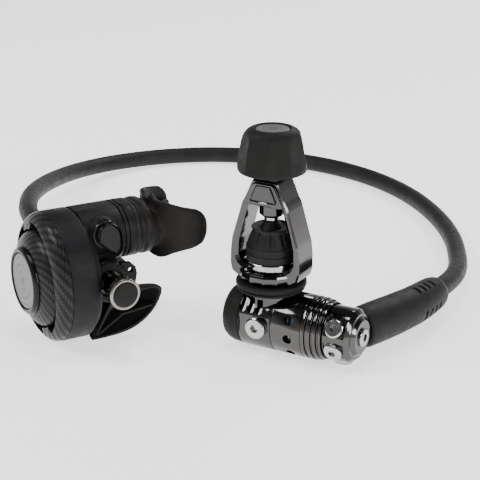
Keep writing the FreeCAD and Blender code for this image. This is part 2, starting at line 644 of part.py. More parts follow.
def adjusting_knob():
    """Notched grip ring of the breathing adjustment."""
    ring = turned([(KNOB_Y + 0.7, 0), (KNOB_Y + 0.7, 8.4), (KNOB_Y + 1.4, KNOB_RING_R),
                   (KNOB_Y + 6.0, KNOB_RING_R), (KNOB_Y + 6.8, 9.0), (KNOB_Y + 6.8, 0)],
                  "y", (0, 0, 0))
    cutters = [rod(8.1, KNOB_Y + 5.6, KNOB_Y + 8, "y")]
    for i in range(24):
        notch = block(KNOB_RING_R - 1.0, KNOB_RING_R + 1, KNOB_Y, KNOB_Y + 5.0, -0.55, 0.55)
        notch.rotate(V(0, 0, 0), V(0, 1, 0), 15 * i)
        cutters.append(notch)
    knob = ring.cut(cutters)
    knob.translate(V(VALVE_X, 0, VALVE_Z))
    return knob


def knob_face():
    return turned([(KNOB_Y + 5.7, 0), (KNOB_Y + 5.7, 8.0), (KNOB_Y + 7.0, 8.0), (KNOB_Y + 7.7, 7.2),
                   (KNOB_Y + 8.1, 4.0), (KNOB_Y + 8.1, 0)], "y", (VALVE_X, 0, VALVE_Z))


def swivel_nut():
    nut = valve_axis(hexagon, 17.0, INLET_Y - 11.7, INLET_Y)
    cone = turned([(INLET_Y - 12, 0), (INLET_Y - 12, 8.2), (INLET_Y - 9.6, 9.9), (INLET_Y - 1.4, 9.9),
                   (INLET_Y + 0.2, 9.0), (INLET_Y + 0.2, 0)], "y", (VALVE_X, 0, VALVE_Z))
    return nut.common(cone).cut([valve_axis(rod, 6.78, INLET_Y - 8.7, INLET_Y + 1),
                                 valve_axis(rod, 5.1, INLET_Y - 13, INLET_Y)])


def second_ferrule():
    """Nipple inside the nut, and the crimped ferrule up to the hose's face."""
    neck, seal = INLET_Y - 12.2, INLET_Y - 8.5
    solid = turned([(HOSE_Y, 0), (HOSE_Y, FERRULE_R), (neck - 0.6, FERRULE_R),
                    (neck, FERRULE_R - 0.6), (neck, 5.0), (seal, 5.0), (seal, 6.2),
                    (seal + 0.5, 6.2), (seal + 0.5, 0)], "y", (VALVE_X, 0, VALVE_Z))
    crimps = [valve_axis(tube, FERRULE_R + 1, FERRULE_R - 0.5, y, y + 1.2)
              for y in (-60.4, -57.8, -55.2)]
    return solid.cut(crimps)


def venturi_lever():
    """Teardrop thumb lever on the knob side of the tube, with its shaft."""
    x, z = LEVER_AT
    hub = turned([(22.7, 0), (22.7, 8.2), (24.6, 8.2), (27.6, 6.4), (28.6, 4.0), (28.6, 0)],
                 "y", (x, 0, z))
    wing = extruded([(-6.6, 4.5), (-7.9, 0), (-7.4, -4.5), (-4.6, -9.0), (-1.0, -11.4),
                     (0.6, -10.6), (4.6, -6.4), (6.6, -3.4)], 22.7, 26.6)
    wing.translate(V(x, 0, z))
    shaft = rod(3.0, 10.5, 23, "y", (x, 0, z))
    return hub.fuse([wing, shaft]).removeSplitter()


def venturi_vane():
    x, z = LEVER_AT
    return block(x - 4.0, x + 4.0, 9.0, 10.4, z - 4.2, z + 2.2)


def exhaust_flap():
    flap = turned([(-13.0, 0), (-13.0, 2.4), (-12.6, EXHAUST_R), (-12.0, EXHAUST_R), (-12.0, 1.3),
                   (-6.0, 1.3), (-6.0, 0)])
    flap.translate(V(0, 0, EXHAUST_Z))
    return flap


def tee_solid(shrink):
    """Duct profile drawn in by a wall thickness; its front stays against the case."""
    s = shrink
    outline = [(-6.8, -37.4), (-4.4, -41.0 + s), (-10.0, -41.0 + s), (-24.0, -40.2 + s),
               (-33.5 + 0.3 * s, -37.2 + s), (-41.0 + 0.7 * s, -31.4 + 0.7 * s),
               (-46.4 + s, -23.0 + 0.4 * s), (-48.4 + s, -13.0), (-47.2 + s, -8.6 - 0.6 * s),
               (-42.0 + 0.4 * s, -7.0 - s), (-24.4 - s, -7.0 - s), (-24.4 - s, -12.0 - s),
               (-14.8, -12.0 - s)]
    return extruded(outline, -36, 36)


def exhaust_duct():
    wall = 2.2
    duct = tee_solid(0.0).cut([tee_solid(wall), block(-60, 10, -19.4, 19.4, -4.5, 4)])
    ribs = rib((-8.6, -38.6), (-23.4, -25.6), 1.8).fuse(rib((-22.6, -25.6), (-46.8, -22.4), 1.8))
    keep = mouth_wedge()
    inner_hub = rod(14.4, -15.8, -6, "x", (0, 0, EXHAUST_Z))
    near_valve = valve_axis(rod, BOSS_R + 0.9, -40, 40)
    duct = duct.fuse(ribs.cut(block(-60, 10, -12, 12, -60, 0))).common(keep)
    return duct.cut([inner_hub, near_valve, rod(CASE_R + 0.25, -7, 20)])


def rib(a, b, thick):
    run = V(b[0] - a[0], 0, b[1] - a[1])
    bar = Part.makeBox(run.Length, 72, thick, V(0, -36, -thick / 2))
    bar.rotate(V(0, 0, 0), V(0, 1, 0), -math.degrees(math.atan2(run.z, run.x)))
    bar.translate(V(a[0], 0, a[1]))
    return bar


def mouth_wedge():
    """Keeps the duct between its two mouths, wider at the top than on the table."""
    corners = [V(20, -17, -42), V(20, 17, -42), V(20, 31, -4), V(20, -31, -4)]
    return Part.Face(Part.makePolygon(corners + corners[:1])).extrude(V(-80, 0, 0))


def mouthpiece():
    neck = stadium(TUBE_W - 0.6, TUBE_H - 0.6, -48.8, TUBE_X - 0.3, TUBE_Z)
    slim = stadium(34, 26, -54, -47, TUBE_Z)
    arch = Part.makeCylinder(MOUTH_R, 60, V(MOUTH_X, 0, -6))
    arch = arch.cut(Part.makeCylinder(MOUTH_R - 2.6, 62, V(MOUTH_X, 0, -7)))
    profile = extruded([(-49, 43.6), (-54, 42.6), (-58, 39.8), (-62, 38.2), (-72, 38.0),
                        (-76, 36.0), (-79, 31.0), (-79.6, 25.0), (-79, 18.6), (-76, 13.6),
                        (-71, 11.2), (-65, 10.4), (-60, 8.4), (-57, 4.8), (-52, 4.0),
                        (-49, 4.6)], -40, 40)
    flange = arch.common(profile)
    lugs = [block(-73, -59.5, side * 21.0 - 3.4, side * 21.0 + 3.4, 20.5, 27.5) for side in (-1, 1)]
    posts = [block(-73, -61.0, side * 25.2 - 2.2, side * 25.2 + 2.2, 21.5, 26.5) for side in (-1, 1)]
    solid = neck.fuse([slim, flange] + lugs + posts).removeSplitter()
    hollows = [stadium(STUB_W + 0.2, STUB_H + 0.2, STUB_X - 0.3, TUBE_X + 1, TUBE_Z),
               stadium(28, 20, -60, STUB_X + 1, TUBE_Z)]
    groove = oval_ring(62, 54, TUBE_W - 3.6, TUBE_H - 3.6, -42.4, -39.2)
    return solid.cut(hollows + [groove])


def mouthpiece_clamp():
    band = oval_ring(TUBE_W - 1.2, TUBE_H - 1.2, TUBE_W - 3.4, TUBE_H - 3.4, -42.0, -39.6)
    lock = block(-42.2, -39.4, -2.6, 2.6, TUBE_Z - TUBE_H / 2 - 1.2, TUBE_Z - TUBE_H / 2 + 1.0)
    return band.fuse(lock).removeSplitter()


# ------------------------------------------------------------------ assembly

FIRST_STAGE = [
    main_body, end_cap, seat_plug, valve_seat, high_port_plugs, piston, piston_seal, main_spring,
    spring_bushing, piston_cap, turret, turret_bolt, low_port_plugs, yoke_collar, yoke, yoke_badge,
    yoke_retainer, inlet_filter, yoke_screw, screw_tip, yoke_knob, knob_disc, dust_cap,
    hose_fitting, first_ferrule,
]
SECOND_STAGE = [
    case, retaining_band, front_grille, outer_cover, purge_button, purge_ring, purge_emblem,
    purge_spring, diaphragm, diaphragm_plate, demand_lever, valve_barrel, orifice, poppet,
    poppet_spring, spring_pad, adjusting_stem, adjusting_knob, knob_face, swivel_nut,
    second_ferrule, venturi_lever, venturi_vane, exhaust_flap, exhaust_duct, mouthpiece,
    mouthpiece_clamp,
]


def place_first(solid):
    solid.translate(FIRST_AT)
    return solid


def place_second(solid):
    solid.rotate(V(0, 0, 0), V(0, 0, 1), SECOND_TURN)
    solid.translate(SECOND_AT)
    return solid


def main():
    os.makedirs("parts", exist_ok=True)
    nodes = {make.__name__: place_first(make()) for make in FIRST_STAGE}
    nodes.update({make.__name__: place_second(make()) for make in SECOND_STAGE})
    box = FreeCAD.BoundBox()
    for shape in nodes.values():
        box.add(shape.BoundBox)
    sides = (box.XMin, box.XMax, box.YMin, box.YMax, box.ZMin, box.ZMax)
    print("stages box", [round(v, 2) for v in sides])
    path, tightest = rounded_path([V(*p) for p in ROUTE])
    print("hose length", round(path.Length, 1), "tightest bend", round(tightest, 1))
    nodes["hose"] = hose(path)
    nodes["hose_protector"] = hose_protector(path)
    for name, shape in nodes.items():
        solids = shape.Solids
        flaw = "" if shape.isValid() and all(s.Volume > 0 for s in solids) else "  NOT VALID"
        low = shape.BoundBox.ZMin
        print(f"{name:18s} solids {len(solids)} volume {shape.Volume:9.1f} low {low:7.2f}{flaw}")
        shape.exportStep(f"parts/{name}.step")


main()
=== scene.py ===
import json
import math

import bmesh
import bpy
from mathutils import Matrix, Vector


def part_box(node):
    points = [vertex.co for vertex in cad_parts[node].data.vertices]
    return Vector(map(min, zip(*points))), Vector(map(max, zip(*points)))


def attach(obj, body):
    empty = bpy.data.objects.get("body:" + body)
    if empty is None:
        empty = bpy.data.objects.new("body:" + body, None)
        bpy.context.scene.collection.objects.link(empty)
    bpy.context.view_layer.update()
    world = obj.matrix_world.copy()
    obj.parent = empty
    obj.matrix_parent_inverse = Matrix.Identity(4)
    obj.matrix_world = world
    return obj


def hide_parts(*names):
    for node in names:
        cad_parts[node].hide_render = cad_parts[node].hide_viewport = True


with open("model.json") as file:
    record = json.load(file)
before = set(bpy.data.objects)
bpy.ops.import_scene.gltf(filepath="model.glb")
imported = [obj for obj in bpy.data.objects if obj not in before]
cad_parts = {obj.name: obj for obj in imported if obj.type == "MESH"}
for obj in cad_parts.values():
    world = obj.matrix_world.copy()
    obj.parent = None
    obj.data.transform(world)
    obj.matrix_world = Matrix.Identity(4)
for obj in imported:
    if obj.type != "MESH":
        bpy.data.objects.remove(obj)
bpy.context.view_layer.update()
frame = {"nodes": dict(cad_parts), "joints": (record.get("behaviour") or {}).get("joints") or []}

ROOT = "hose_and_case"
MM = 0.001

# ------------------------------------------------------------ the two stages
# Shapes are written in millimetres in the two stages' own axes. The first stage
# has x along its barrel and z up its yoke; the second has x out of its cover and
# y along its valve towards the knob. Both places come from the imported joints.

JOINTS = {joint["name"]: joint for joint in frame["joints"]}
COVER_AXIS = Vector(JOINTS["purge_press"]["axis"])
VALVE_AXIS = Vector(JOINTS["adjusting_knob_turn"]["axis"])
VALVE_X, VALVE_Z = -12.0, 1.3
FIRST_AT = Vector(JOINTS["turret_swivel"]["pos_m"])
SECOND_AT = (Vector(JOINTS["adjusting_knob_turn"]["pos_m"])
             - COVER_AXIS * VALVE_X * MM - Vector((0, 0, VALVE_Z * MM)))
SECOND_TURN = math.atan2(COVER_AXIS.y, COVER_AXIS.x)


def placed(origin, x_axis, y_axis):
    """Matrix from a stage's own millimetres to the row frame."""
    turn = Matrix((x_axis, y_axis, x_axis.cross(y_axis))).transposed().to_4x4()
    return Matrix.Translation(origin) @ turn @ Matrix.Scale(MM, 4)


FIRST = placed(FIRST_AT, Vector((1, 0, 0)), Vector((0, 1, 0)))
SECOND = placed(SECOND_AT, COVER_AXIS, VALVE_AXIS)
ROW = Matrix.Scale(MM, 4)


def camera():
    data = bpy.data.cameras.new("camera")
    data.lens, data.sensor_width = 105, 36
    cam = bpy.data.objects.new("camera", data)
    cam.location = (0.4283, -0.6709, 0.3555)
    cam.rotation_euler = (math.radians(70.03), 0, math.radians(29.94))
    bpy.context.scene.collection.objects.link(cam)
    bpy.context.scene.camera = cam


camera()

# ---------------------------------------------------------------- node trees


class Finish:
    """A procedural material, built step by step from object coordinates."""

    def __init__(self, name, **sockets):
        self.material = bpy.data.materials.new(name)
        self.material.use_nodes = True
        self.tree = self.material.node_tree
        self.shader = self.tree.nodes["Principled BSDF"]
        self.place = self.tree.nodes.new("ShaderNodeTexCoord").outputs["Object"]
        for socket, value in sockets.items():
            self.shader.inputs[socket.replace("_", " ")].default_value = value

    def node(self, kind, inputs=(), **settings):
        made = self.tree.nodes.new("ShaderNode" + kind)
        for key, value in settings.items():
            setattr(made, key, value)
        for socket, value in dict(inputs).items():
            self.feed(made.inputs[socket], value)
        return made

    def feed(self, socket, value):
        if isinstance(value, bpy.types.NodeSocket):
            self.tree.links.new(value, socket)
        else:
            socket.default_value = value

    def math(self, operation, *values):
        return self.node("Math", enumerate(values), operation=operation).outputs[0]

    def noise(self, scale, detail=3, vector=None, roughness=0.55):
        """Noise with this many cells to the metre."""
        made = self.node("TexNoise", {"Vector": vector or self.place, "Scale": scale,
                                      "Detail": detail, "Roughness": roughness})
        return made.outputs["Fac"]

    def stretched(self, scale, stretch, turn=(0, 0, 0)):
        """Noise drawn out along one axis, as brushing or drawing leaves it."""
        mapped = self.node("Mapping", {"Vector": self.place, "Rotation": turn, "Scale": stretch})
        return self.noise(scale, 2, mapped.outputs[0])

    def spread(self, value, low, high, start=0.3, end=0.7):
        made = self.node("MapRange", {"Value": value, "From Min": start, "From Max": end,
                                      "To Min": low, "To Max": high})
        return made.outputs["Result"]

    def mix(self, fac, first, second):
        made = self.node("Mix", {0: fac, 6: first, 7: second}, data_type="RGBA")
        return made.outputs[2]

    def bump(self, height, strength, distance):
        made = self.node("Bump", {"Height": height, "Strength": strength, "Distance": distance})
        self.feed(self.shader.inputs["Normal"], made.outputs[0])

    def colour(self, value):
        self.feed(self.shader.inputs["Base Color"], value)

    def rough(self, value):
        self.feed(self.shader.inputs["Roughness"], value)

    def stage_place(self, origin, turn):
        """Object coordinates in a stage's own millimetres."""
        mapped = self.node("Mapping", {"Vector": self.place, "Location": origin,
                                       "Rotation": (0, 0, turn), "Scale": (MM, MM, MM)},
                           vector_type="TEXTURE")
        return self.node("SeparateXYZ", {0: mapped.outputs[0]}).outputs


def shade(value, tint=(1, 1, 1)):
    return (value * tint[0], value * tint[1], value * tint[2], 1)


WARM = (1.05, 1.0, 0.94)
COOL = (0.94, 0.98, 1.08)


def rubber(name, value, tint=WARM, rough=(0.5, 0.68), grain=2600, relief=0.35):
    """Moulded rubber or silicone: fine grain, faint bloom and handling marks."""
    made = Finish(name, Specular_IOR_Level=0.14)
    bloom = made.spread(made.noise(60, 4), 0, 1, 0.35, 0.7)
    made.colour(made.mix(bloom, shade(value * 0.86, tint), shade(value * 1.25, tint)))
    made.rough(made.spread(made.noise(240, 3), *rough))
    made.bump(made.noise(grain, 4), relief, 0.00012)
    return made.material


def plastic(name, value, tint=WARM, rough=(0.35, 0.5), grain=1800, relief=0.2, gloss=0.14):
    """Moulded plastic with a spark-eroded grain and soft rub marks."""
    made = Finish(name, Specular_IOR_Level=gloss)
    rub = made.spread(made.noise(90, 5), 0, 1, 0.4, 0.72)
    made.colour(made.mix(rub, shade(value * 0.9, tint), shade(value * 1.2, tint)))
    made.rough(made.spread(made.noise(160, 4), *rough))
    made.bump(made.noise(grain, 3), relief, 0.0001)
    return made.material


def plated(name, value, tint=WARM, rough=(0.07, 0.16)):
    """Polished plating: clear reflections, faint buffing waves and hairline scratches."""
    made = Finish(name, Metallic=1.0)
    haze = made.spread(made.noise(45, 3), 0, 1)
    made.colour(made.mix(haze, shade(value * 0.9, tint), shade(value * 1.1, tint)))
    scratches = made.stretched(900, (1, 0.05, 0.05))
    made.rough(made.spread(scratches, *rough, 0.35, 0.75))
    made.bump(made.noise(160, 2), 0.05, 0.0004)
    return made.material


def machined(name, value, tint=(1, 1, 1), rough=(0.22, 0.4), turn=(0, 0, 0)):
    """Turned or stamped metal with fine tool marks."""
    made = Finish(name, Metallic=1.0)
    marks = made.stretched(2400, (1, 0.08, 0.08), turn)
    made.colour(made.mix(marks, shade(value * 0.82, tint), shade(value * 1.12, tint)))
    made.rough(made.spread(marks, *rough))
    made.bump(marks, 0.15, 0.00006)
    return made.material


def carbon_weave():
    """Twill of carbon tows under clear lacquer, laid round the cover; the paler over tows carry a
    painted sheen and the grooves between tows hold painted shade.
    """
    made = Finish("carbon_weave", Coat_Weight=0.08, Coat_Roughness=0.15, Specular_IOR_Level=0.14)
    x, y, z = made.stage_place(SECOND_AT, SECOND_TURN)
    radius = made.math("SQRT", made.math("ADD", made.math("MULTIPLY", y, y),
                                         made.math("MULTIPLY", z, z)))
    around = made.math("MULTIPLY", made.math("ARCTAN2", z, y), 128 / math.tau)
    outward = made.math("MULTIPLY", made.math("SUBTRACT", radius, x), 0.5)
    over = made.math("LESS_THAN", made.math("FLOORED_MODULO", made.math(
        "ADD", made.math("FLOOR", around), made.math("FLOOR", outward)), 4.0), 2.0)
    tow_a = made.math("SINE", made.math("MULTIPLY", made.math("FRACT", around), math.pi))
    tow_b = made.math("SINE", made.math("MULTIPLY", made.math("FRACT", outward), math.pi))
    lift = made.node("Mix", {0: over, 2: tow_a, 3: tow_b}, data_type="FLOAT").outputs[0]
    fibres = made.noise(5200, 2)
    # Painted sheen: the over tows get a paler colour for the light they catch and the under tows a
    # darker one; the twill layout itself is the weave's own pattern
    pale_painted_sheen = made.mix(fibres, shade(0.016, WARM), shade(0.036, WARM))
    dark = made.mix(fibres, shade(0.004, WARM), shade(0.008, WARM))
    twill_and_painted_sheen = made.mix(over, dark, pale_painted_sheen)
    # Painted shade: the colour drops to near black where the tow height falls, darkening the
    # grooves between tows
    made.colour(made.mix(made.spread(lift, 0, 1, 0.05, 0.6), shade(0.004), twill_and_painted_sheen))
    made.rough(made.spread(over, 0.5, 0.3, 0, 1))
    made.bump(lift, 0.35, 0.0002)
    return made.material


def ringed_disc(name, value, tint, origin, turn, axis, radii):
    """Satin disc with concentric grooves, their colour darkened as painted shade; radii are in the
    stage's millimetres.
    """
    made = Finish(name, Metallic=0.85)
    out = made.stage_place(origin, turn)
    across = [out[i] for i in range(3) if i != axis]
    radius = made.math("SQRT", made.math("ADD", made.math("MULTIPLY", across[0], across[0]),
                                         made.math("MULTIPLY", across[1], across[1])))
    groove_and_painted_shade = None
    for r, half in radii:
        near = made.math("LESS_THAN", made.math("ABSOLUTE", made.math("SUBTRACT", radius, r)), half)
        groove_and_painted_shade = near if groove_and_painted_shade is None else made.math("MAXIMUM", groove_and_painted_shade, near)
    spin = made.noise(14, 2, made.node("CombineXYZ", {0: radius, 1: 0.0, 2: 0.0}).outputs[0])
    sheen = made.spread(spin, 0.82, 1.15)
    base = made.mix(made.spread(spin, 0, 1), shade(value * 0.85, tint), shade(value * 1.15, tint))
    # Painted shade: the grooves are darkened to 0.42 of the disc's colour, on top of their bump
    made.colour(made.mix(groove_and_painted_shade, base, shade(value * 0.42, tint)))
    made.rough(made.math("MULTIPLY", sheen, 0.34))
    made.bump(made.math("SUBTRACT", made.math("MULTIPLY", spin, 0.2), groove_and_painted_shade), 0.5, 0.00015)
    return made.material


BLACK_CHROME = plated("black_chrome", 0.082, (1.0, 0.97, 0.95))
BRIGHT_CHROME = plated("bright_chrome", 0.42, (1.0, 0.99, 0.97), (0.08, 0.2))
STEEL = machined("turned_steel", 0.55)
BRASS = machined("turned_brass", 0.5, (1.15, 0.92, 0.52))
BRONZE = machined("sintered_bronze", 0.34, (1.2, 0.85, 0.5), (0.45, 0.7))
CHAMPAGNE = machined("champagne_anodising", 0.26, (1.05, 0.95, 0.84), (0.2, 0.34))
BLACK_METAL = plated("black_polished_stem", 0.035, WARM, (0.08, 0.2))
SOFT_BLACK = rubber("soft_black_rubber", 0.011)
GREY_BLACK = rubber("grey_black_rubber", 0.013, (1.03, 1.0, 0.97), (0.42, 0.6))
HOSE_RUBBER = rubber("hose_rubber", 0.014, (0.98, 1.0, 1.02), (0.42, 0.6), 3600, 0.5)
SILICONE = rubber("black_silicone", 0.012, (1.1, 0.98, 0.9), (0.38, 0.56), 1500, 0.2)
CLEAR_SILICONE = rubber("diaphragm_silicone", 0.16, (1, 1, 1))
CASE_PLASTIC = plastic("case_plastic", 0.010, (1.04, 1.0, 0.98), (0.4, 0.56), 2400, 0.3)
BAND_PLASTIC = plastic("band_plastic", 0.010, COOL, (0.42, 0.56), 2400, 0.3)
GLOSS_PLASTIC = plastic("gloss_plastic", 0.006, COOL, (0.08, 0.18), 500, 0.05, 0.2)
SEAT_PLASTIC = plastic("seat_plastic", 0.55, (1, 1, 0.97))
BLUE_PLASTIC = plastic("blue_bushing", 0.3, (0.06, 0.75, 1.9), (0.3, 0.4))
BADGE_METAL = machined("blasted_badge", 0.1, (1, 1, 1), (0.4, 0.58))
CARBON = carbon_weave()
EMBLEM = ringed_disc("emblem_disc", 0.12, (1.02, 1.0, 0.97), SECOND_AT, SECOND_TURN, 0,
                     [(14.9, 0.25), (10.6, 0.5), (5.8, 0.5), (1.6, 1.3)])
KNOB_DISC = ringed_disc("knob_disc_rings", 0.2, (1, 1, 1), FIRST_AT, 0.0, 2,
                        [(8.2, 0.3), (5.4, 0.6), (2.0, 1.4)])

# ------------------------------------------------------------------- helpers


def build(name, shape, place, finish, body, stands_for=(), crease=30, edge=0.0):
    """Make a piece from (points, faces) in a stage's millimetres."""
    points, faces = shape
    mesh = bpy.data.meshes.new(name)
    mesh.from_pydata([place @ Vector(p) for p in points], [], faces)
    shell = bmesh.new()
    shell.from_mesh(mesh)
    bmesh.ops.remove_doubles(shell, verts=shell.verts, dist=1e-6)
    bmesh.ops.recalc_face_normals(shell, faces=shell.faces)
    shell.to_mesh(mesh)
    shell.free()
    mesh.shade_smooth()
    mesh.set_sharp_from_angle(angle=math.radians(crease))
    mesh.materials.append(finish)
    piece = bpy.data.objects.new(name, mesh)
    bpy.context.scene.collection.objects.link(piece)
    if edge:
        soften(piece, edge, crease)
    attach(piece, body)
    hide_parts(*stands_for)
    return piece


def soften(piece, edge, crease=30):
    """Round the sharp edges of a piece by this many millimetres."""
    bevel = piece.modifiers.new("rounded_edges", "BEVEL")
    bevel.width, bevel.segments = edge * MM, 3
    bevel.limit_method, bevel.angle_limit = "ANGLE", math.radians(crease)
    bevel.harden_normals = True


def loft(loops, closed=False):
    """Skin closed loops of equal length; open ends are capped."""
    count = len(loops[0])
    points = [p for loop in loops for p in loop]
    faces = []
    for i in range(len(loops) if closed else len(loops) - 1):
        a, b = i * count, (i + 1) % len(loops) * count
        for j in range(count):
            k = (j + 1) % count
            faces.append((a + j, a + k, b + k, b + j))
    if not closed:
        faces.append(tuple(range(count)))
        faces.append(tuple(range(len(points) - count, len(points))))
    return points, faces


def joined(*shapes):
    points, faces = [], []
    for more, quads in shapes:
        faces += [tuple(i + len(points) for i in face) for face in quads]
        points += list(more)
    return points, faces


def laid(along, a, b, axis):
    """A point at this distance along an axis, and a, b across it."""
    return {"x": (along, a, b), "y": (-b, along, a), "z": (a, b, along)}[axis]


def lathe(profile, axis="x", at=(0, 0, 0), ripple=None, count=128):
    """Turn (distance, radius) points about an axis; ripple changes the radius by angle."""
    solid = profile[0][1] == 0 or profile[-1][1] == 0
    loops = []
    for along, radius in profile:
        if radius == 0:
            continue
        loop = []
        for i in range(count):
            angle = math.tau * i / count
            r = radius + (ripple(along, angle) if ripple else 0)
            point = laid(along, r * math.cos(angle), r * math.sin(angle), axis)
            loop.append(tuple(p + q for p, q in zip(point, at)))
        loops.append(loop)
    return loft(loops, closed=not solid)


def curve_through(points, steps=6, closed=True):
    """Smooth line through points (Catmull-Rom)."""
    count = len(points)
    line = []
    for i in range(count if closed else count - 1):
        p = [Vector(points[(i + k) % count] if closed else
                    points[min(max(i + k, 0), count - 1)]) for k in (-1, 0, 1, 2)]
        for step in range(steps):
            t = step / steps
            line.append(0.5 * (2 * p[1] + (p[2] - p[0]) * t
                               + (2 * p[0] - 5 * p[1] + 4 * p[2] - p[3]) * t ** 2
                               + (3 * p[1] - p[0] - 3 * p[2] + p[3]) * t ** 3))
    if not closed:
        line.append(Vector(points[-1]))
    return line


def oval(width, height, count, x, z):
    """Flat-sided oval across the breathing tube, starting at +y."""
    loop, half = [], (width - height) / 2
    for i in range(count):
        angle = math.tau * i / count
        y = height / 2 * math.cos(angle) + math.copysign(half, math.cos(angle)) * min(
            1, abs(math.cos(angle)) * 4)
        loop.append((x, y, z + height / 2 * math.sin(angle)))
    return loop


def ease(t):
    t = min(max(t, 0.0), 1.0)
    return t * t * (3 - 2 * t)


def between(points, x):
    """Value at x of a broken line of (x, value) points."""
    for (x0, v0), (x1, v1) in zip(points, points[1:]):
        if x <= x1:
            return v0 + (v1 - v0) * max(0.0, (x - x0) / (x1 - x0))
    return points[-1][1]


# ---------------------------------------------------------------------- hose

HOSE_D = 13.2
ROUTE = [
    (0.1090, 0.0584, 0.0192), (0.1143, 0.0756, 0.0192), (0.1184, 0.1004, 0.0176),
    (0.1200, 0.1344, 0.0149), (0.1152, 0.1684, 0.0118), (0.1010, 0.2044, 0.0086),
    (0.0822, 0.2424, 0.0069), (0.0552, 0.2804, 0.0066), (0.0174, 0.3184, 0.0066),
    (-0.0266, 0.3460, 0.0066), (-0.0764, 0.3606, 0.0066), (-0.1282, 0.3594, 0.0066),
    (-0.1766, 0.3440, 0.0066), (-0.2148, 0.3140, 0.0068), (-0.2380, 0.2732, 0.0086),
    (-0.2423, 0.2292, 0.0130), (-0.2314, 0.1840, 0.0204), (-0.2120, 0.1356, 0.0292),
    (-0.1866, 0.0886, 0.0374), (-0.1499, 0.0421, 0.0420), (-0.1122, 0.0194, 0.0423),
]


def route_curve(name, thickness):
    data = bpy.data.curves.new(name, "CURVE")
    data.dimensions, data.resolution_u = "3D", 16
    spline = data.splines.new("NURBS")
    spline.points.add(len(ROUTE) - 1)
    for point, place in zip(spline.points, ROUTE):
        point.co = (*place, 1)
    spline.order_u = 3
    spline.use_endpoint_u = True
    data.bevel_depth = thickness
    data.bevel_resolution = 10
    curve = bpy.data.objects.new(name, data)
    bpy.context.scene.collection.objects.link(curve)
    return curve


def route_line():
    """Points along the hose's centreline, read from its own spline."""
    curve = route_curve("centreline", 0)
    line = bpy.data.meshes.new_from_object(curve)
    points = [vertex.co.copy() for vertex in line.vertices]
    bpy.data.objects.remove(curve)
    return points


def hose():
    curve = route_curve("hose_tube", HOSE_D / 2 * MM)
    curve.data.materials.append(HOSE_RUBBER)
    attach(curve, ROOT)
    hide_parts("hose")
    return curve


SLEEVE_LENGTH, SLEEVE_LEAD = 83.0, 21.4
SLOT_ROW = 73.0             # where the first row of slots faces, in degrees
SLOT_DEPTH = 2.4
SLOT_STOPS = (-45, -33, -23, -17, -15.5, -14, -7, 0, 7, 14, 15.5, 17, 23, 33)
SLOT_HALF_ANGLE, SLOT_HALF_WIDTH = 14.5, 0.9
SLEEVE_PROFILE = [(0.0, 11.2), (1.0, 12.4), (4.0, 13.0), (16.0, 13.1), (30.0, 12.9), (55.0, 12.2),
                  (70.0, 11.5), (77.0, 11.0), (80.5, 10.2), (82.2, 9.0), (83.0, 7.5)]
SLEEVE_SAG = [(0.0, 2.8), (30.0, 2.8), (50.0, 2.4), (70.0, 1.2), (83.0, 0.4)]


def hose_sleeve():
    """Bend sleeve that sags over the hose's first stretch, with four rows of four slots."""
    line = route_line()
    away = (line[0] - line[1]).normalized()
    line = [line[0] + away * SLEEVE_LEAD * MM] + line
    slots = [SLEEVE_LENGTH - 15 - 5.7 * i for i in range(4)]
    stations = [s for s, r in SLEEVE_PROFILE] + [8.0, 24.0, 38.0, 46.0]
    for s in slots:
        stations += [s - 1.15, s - 0.75, s + 0.75, s + 1.15]
    angles = []
    for row in range(4):
        middle = SLOT_ROW + 90 * row
        angles += [middle + a for a in SLOT_STOPS]
    loops = []
    for s in sorted(set(stations)):
        place, along = at_distance(line, s * MM)
        place = place - Vector((0, 0, between(SLEEVE_SAG, s) * MM))
        side = along.cross(Vector((0, 0, 1))).normalized()
        up = side.cross(along)
        loop = []
        for angle in angles:
            radius = between(SLEEVE_PROFILE, s)
            off = abs((angle - SLOT_ROW + 45) % 90 - 45)
            if off < SLOT_HALF_ANGLE and any(abs(s - slot) < SLOT_HALF_WIDTH for slot in slots):
                radius -= SLOT_DEPTH
            turn = math.radians(angle)
            loop.append((place + (side * math.cos(turn) + up * math.sin(turn)) * radius * MM) / MM)
        loops.append(loop)
    return build("hose_sleeve", loft(loops), ROW, GREY_BLACK, ROOT,
                 ["hose_protector"], crease=38, edge=0.25)


def at_distance(line, distance):
    """Point and direction on a line of points at a distance from its start."""
    for a, b in zip(line, line[1:]):
        length = (b - a).length
        if distance <= length:
            break
        distance -= length
    along = (b - a).normalized()
    return a + along * distance, along


# ------------------------------------------------------------ first stage

YOKE_CENTRE_Z = 56.0


def radial_loop(outline, angles, centre, y, grow=0.0):
    """Outline of (x, z) points, met by rays from a centre, at depth y."""
    loop = []
    for angle in angles:
        ray = Vector((math.cos(angle), math.sin(angle)))
        best = 0.0
        for a, b in zip(outline, outline[1:] + outline[:1]):
            a, b = Vector(a) - centre, Vector(b) - centre
            run = b - a
            cross = ray.x * run.y - ray.y * run.x
            if abs(cross) < 1e-9:
                continue
            t = (a.x * run.y - a.y * run.x) / cross
            u = (a.x * ray.y - a.y * ray.x) / cross
            if t > 0 and -1e-6 <= u <= 1 + 1e-6:
                best = max(best, t)
        spot = centre + ray * (best + grow)
        loop.append((spot.x, y, spot.y))
    return loop


def mirrored(half):
    return half + [(-x, z) for x, z in reversed(half)]


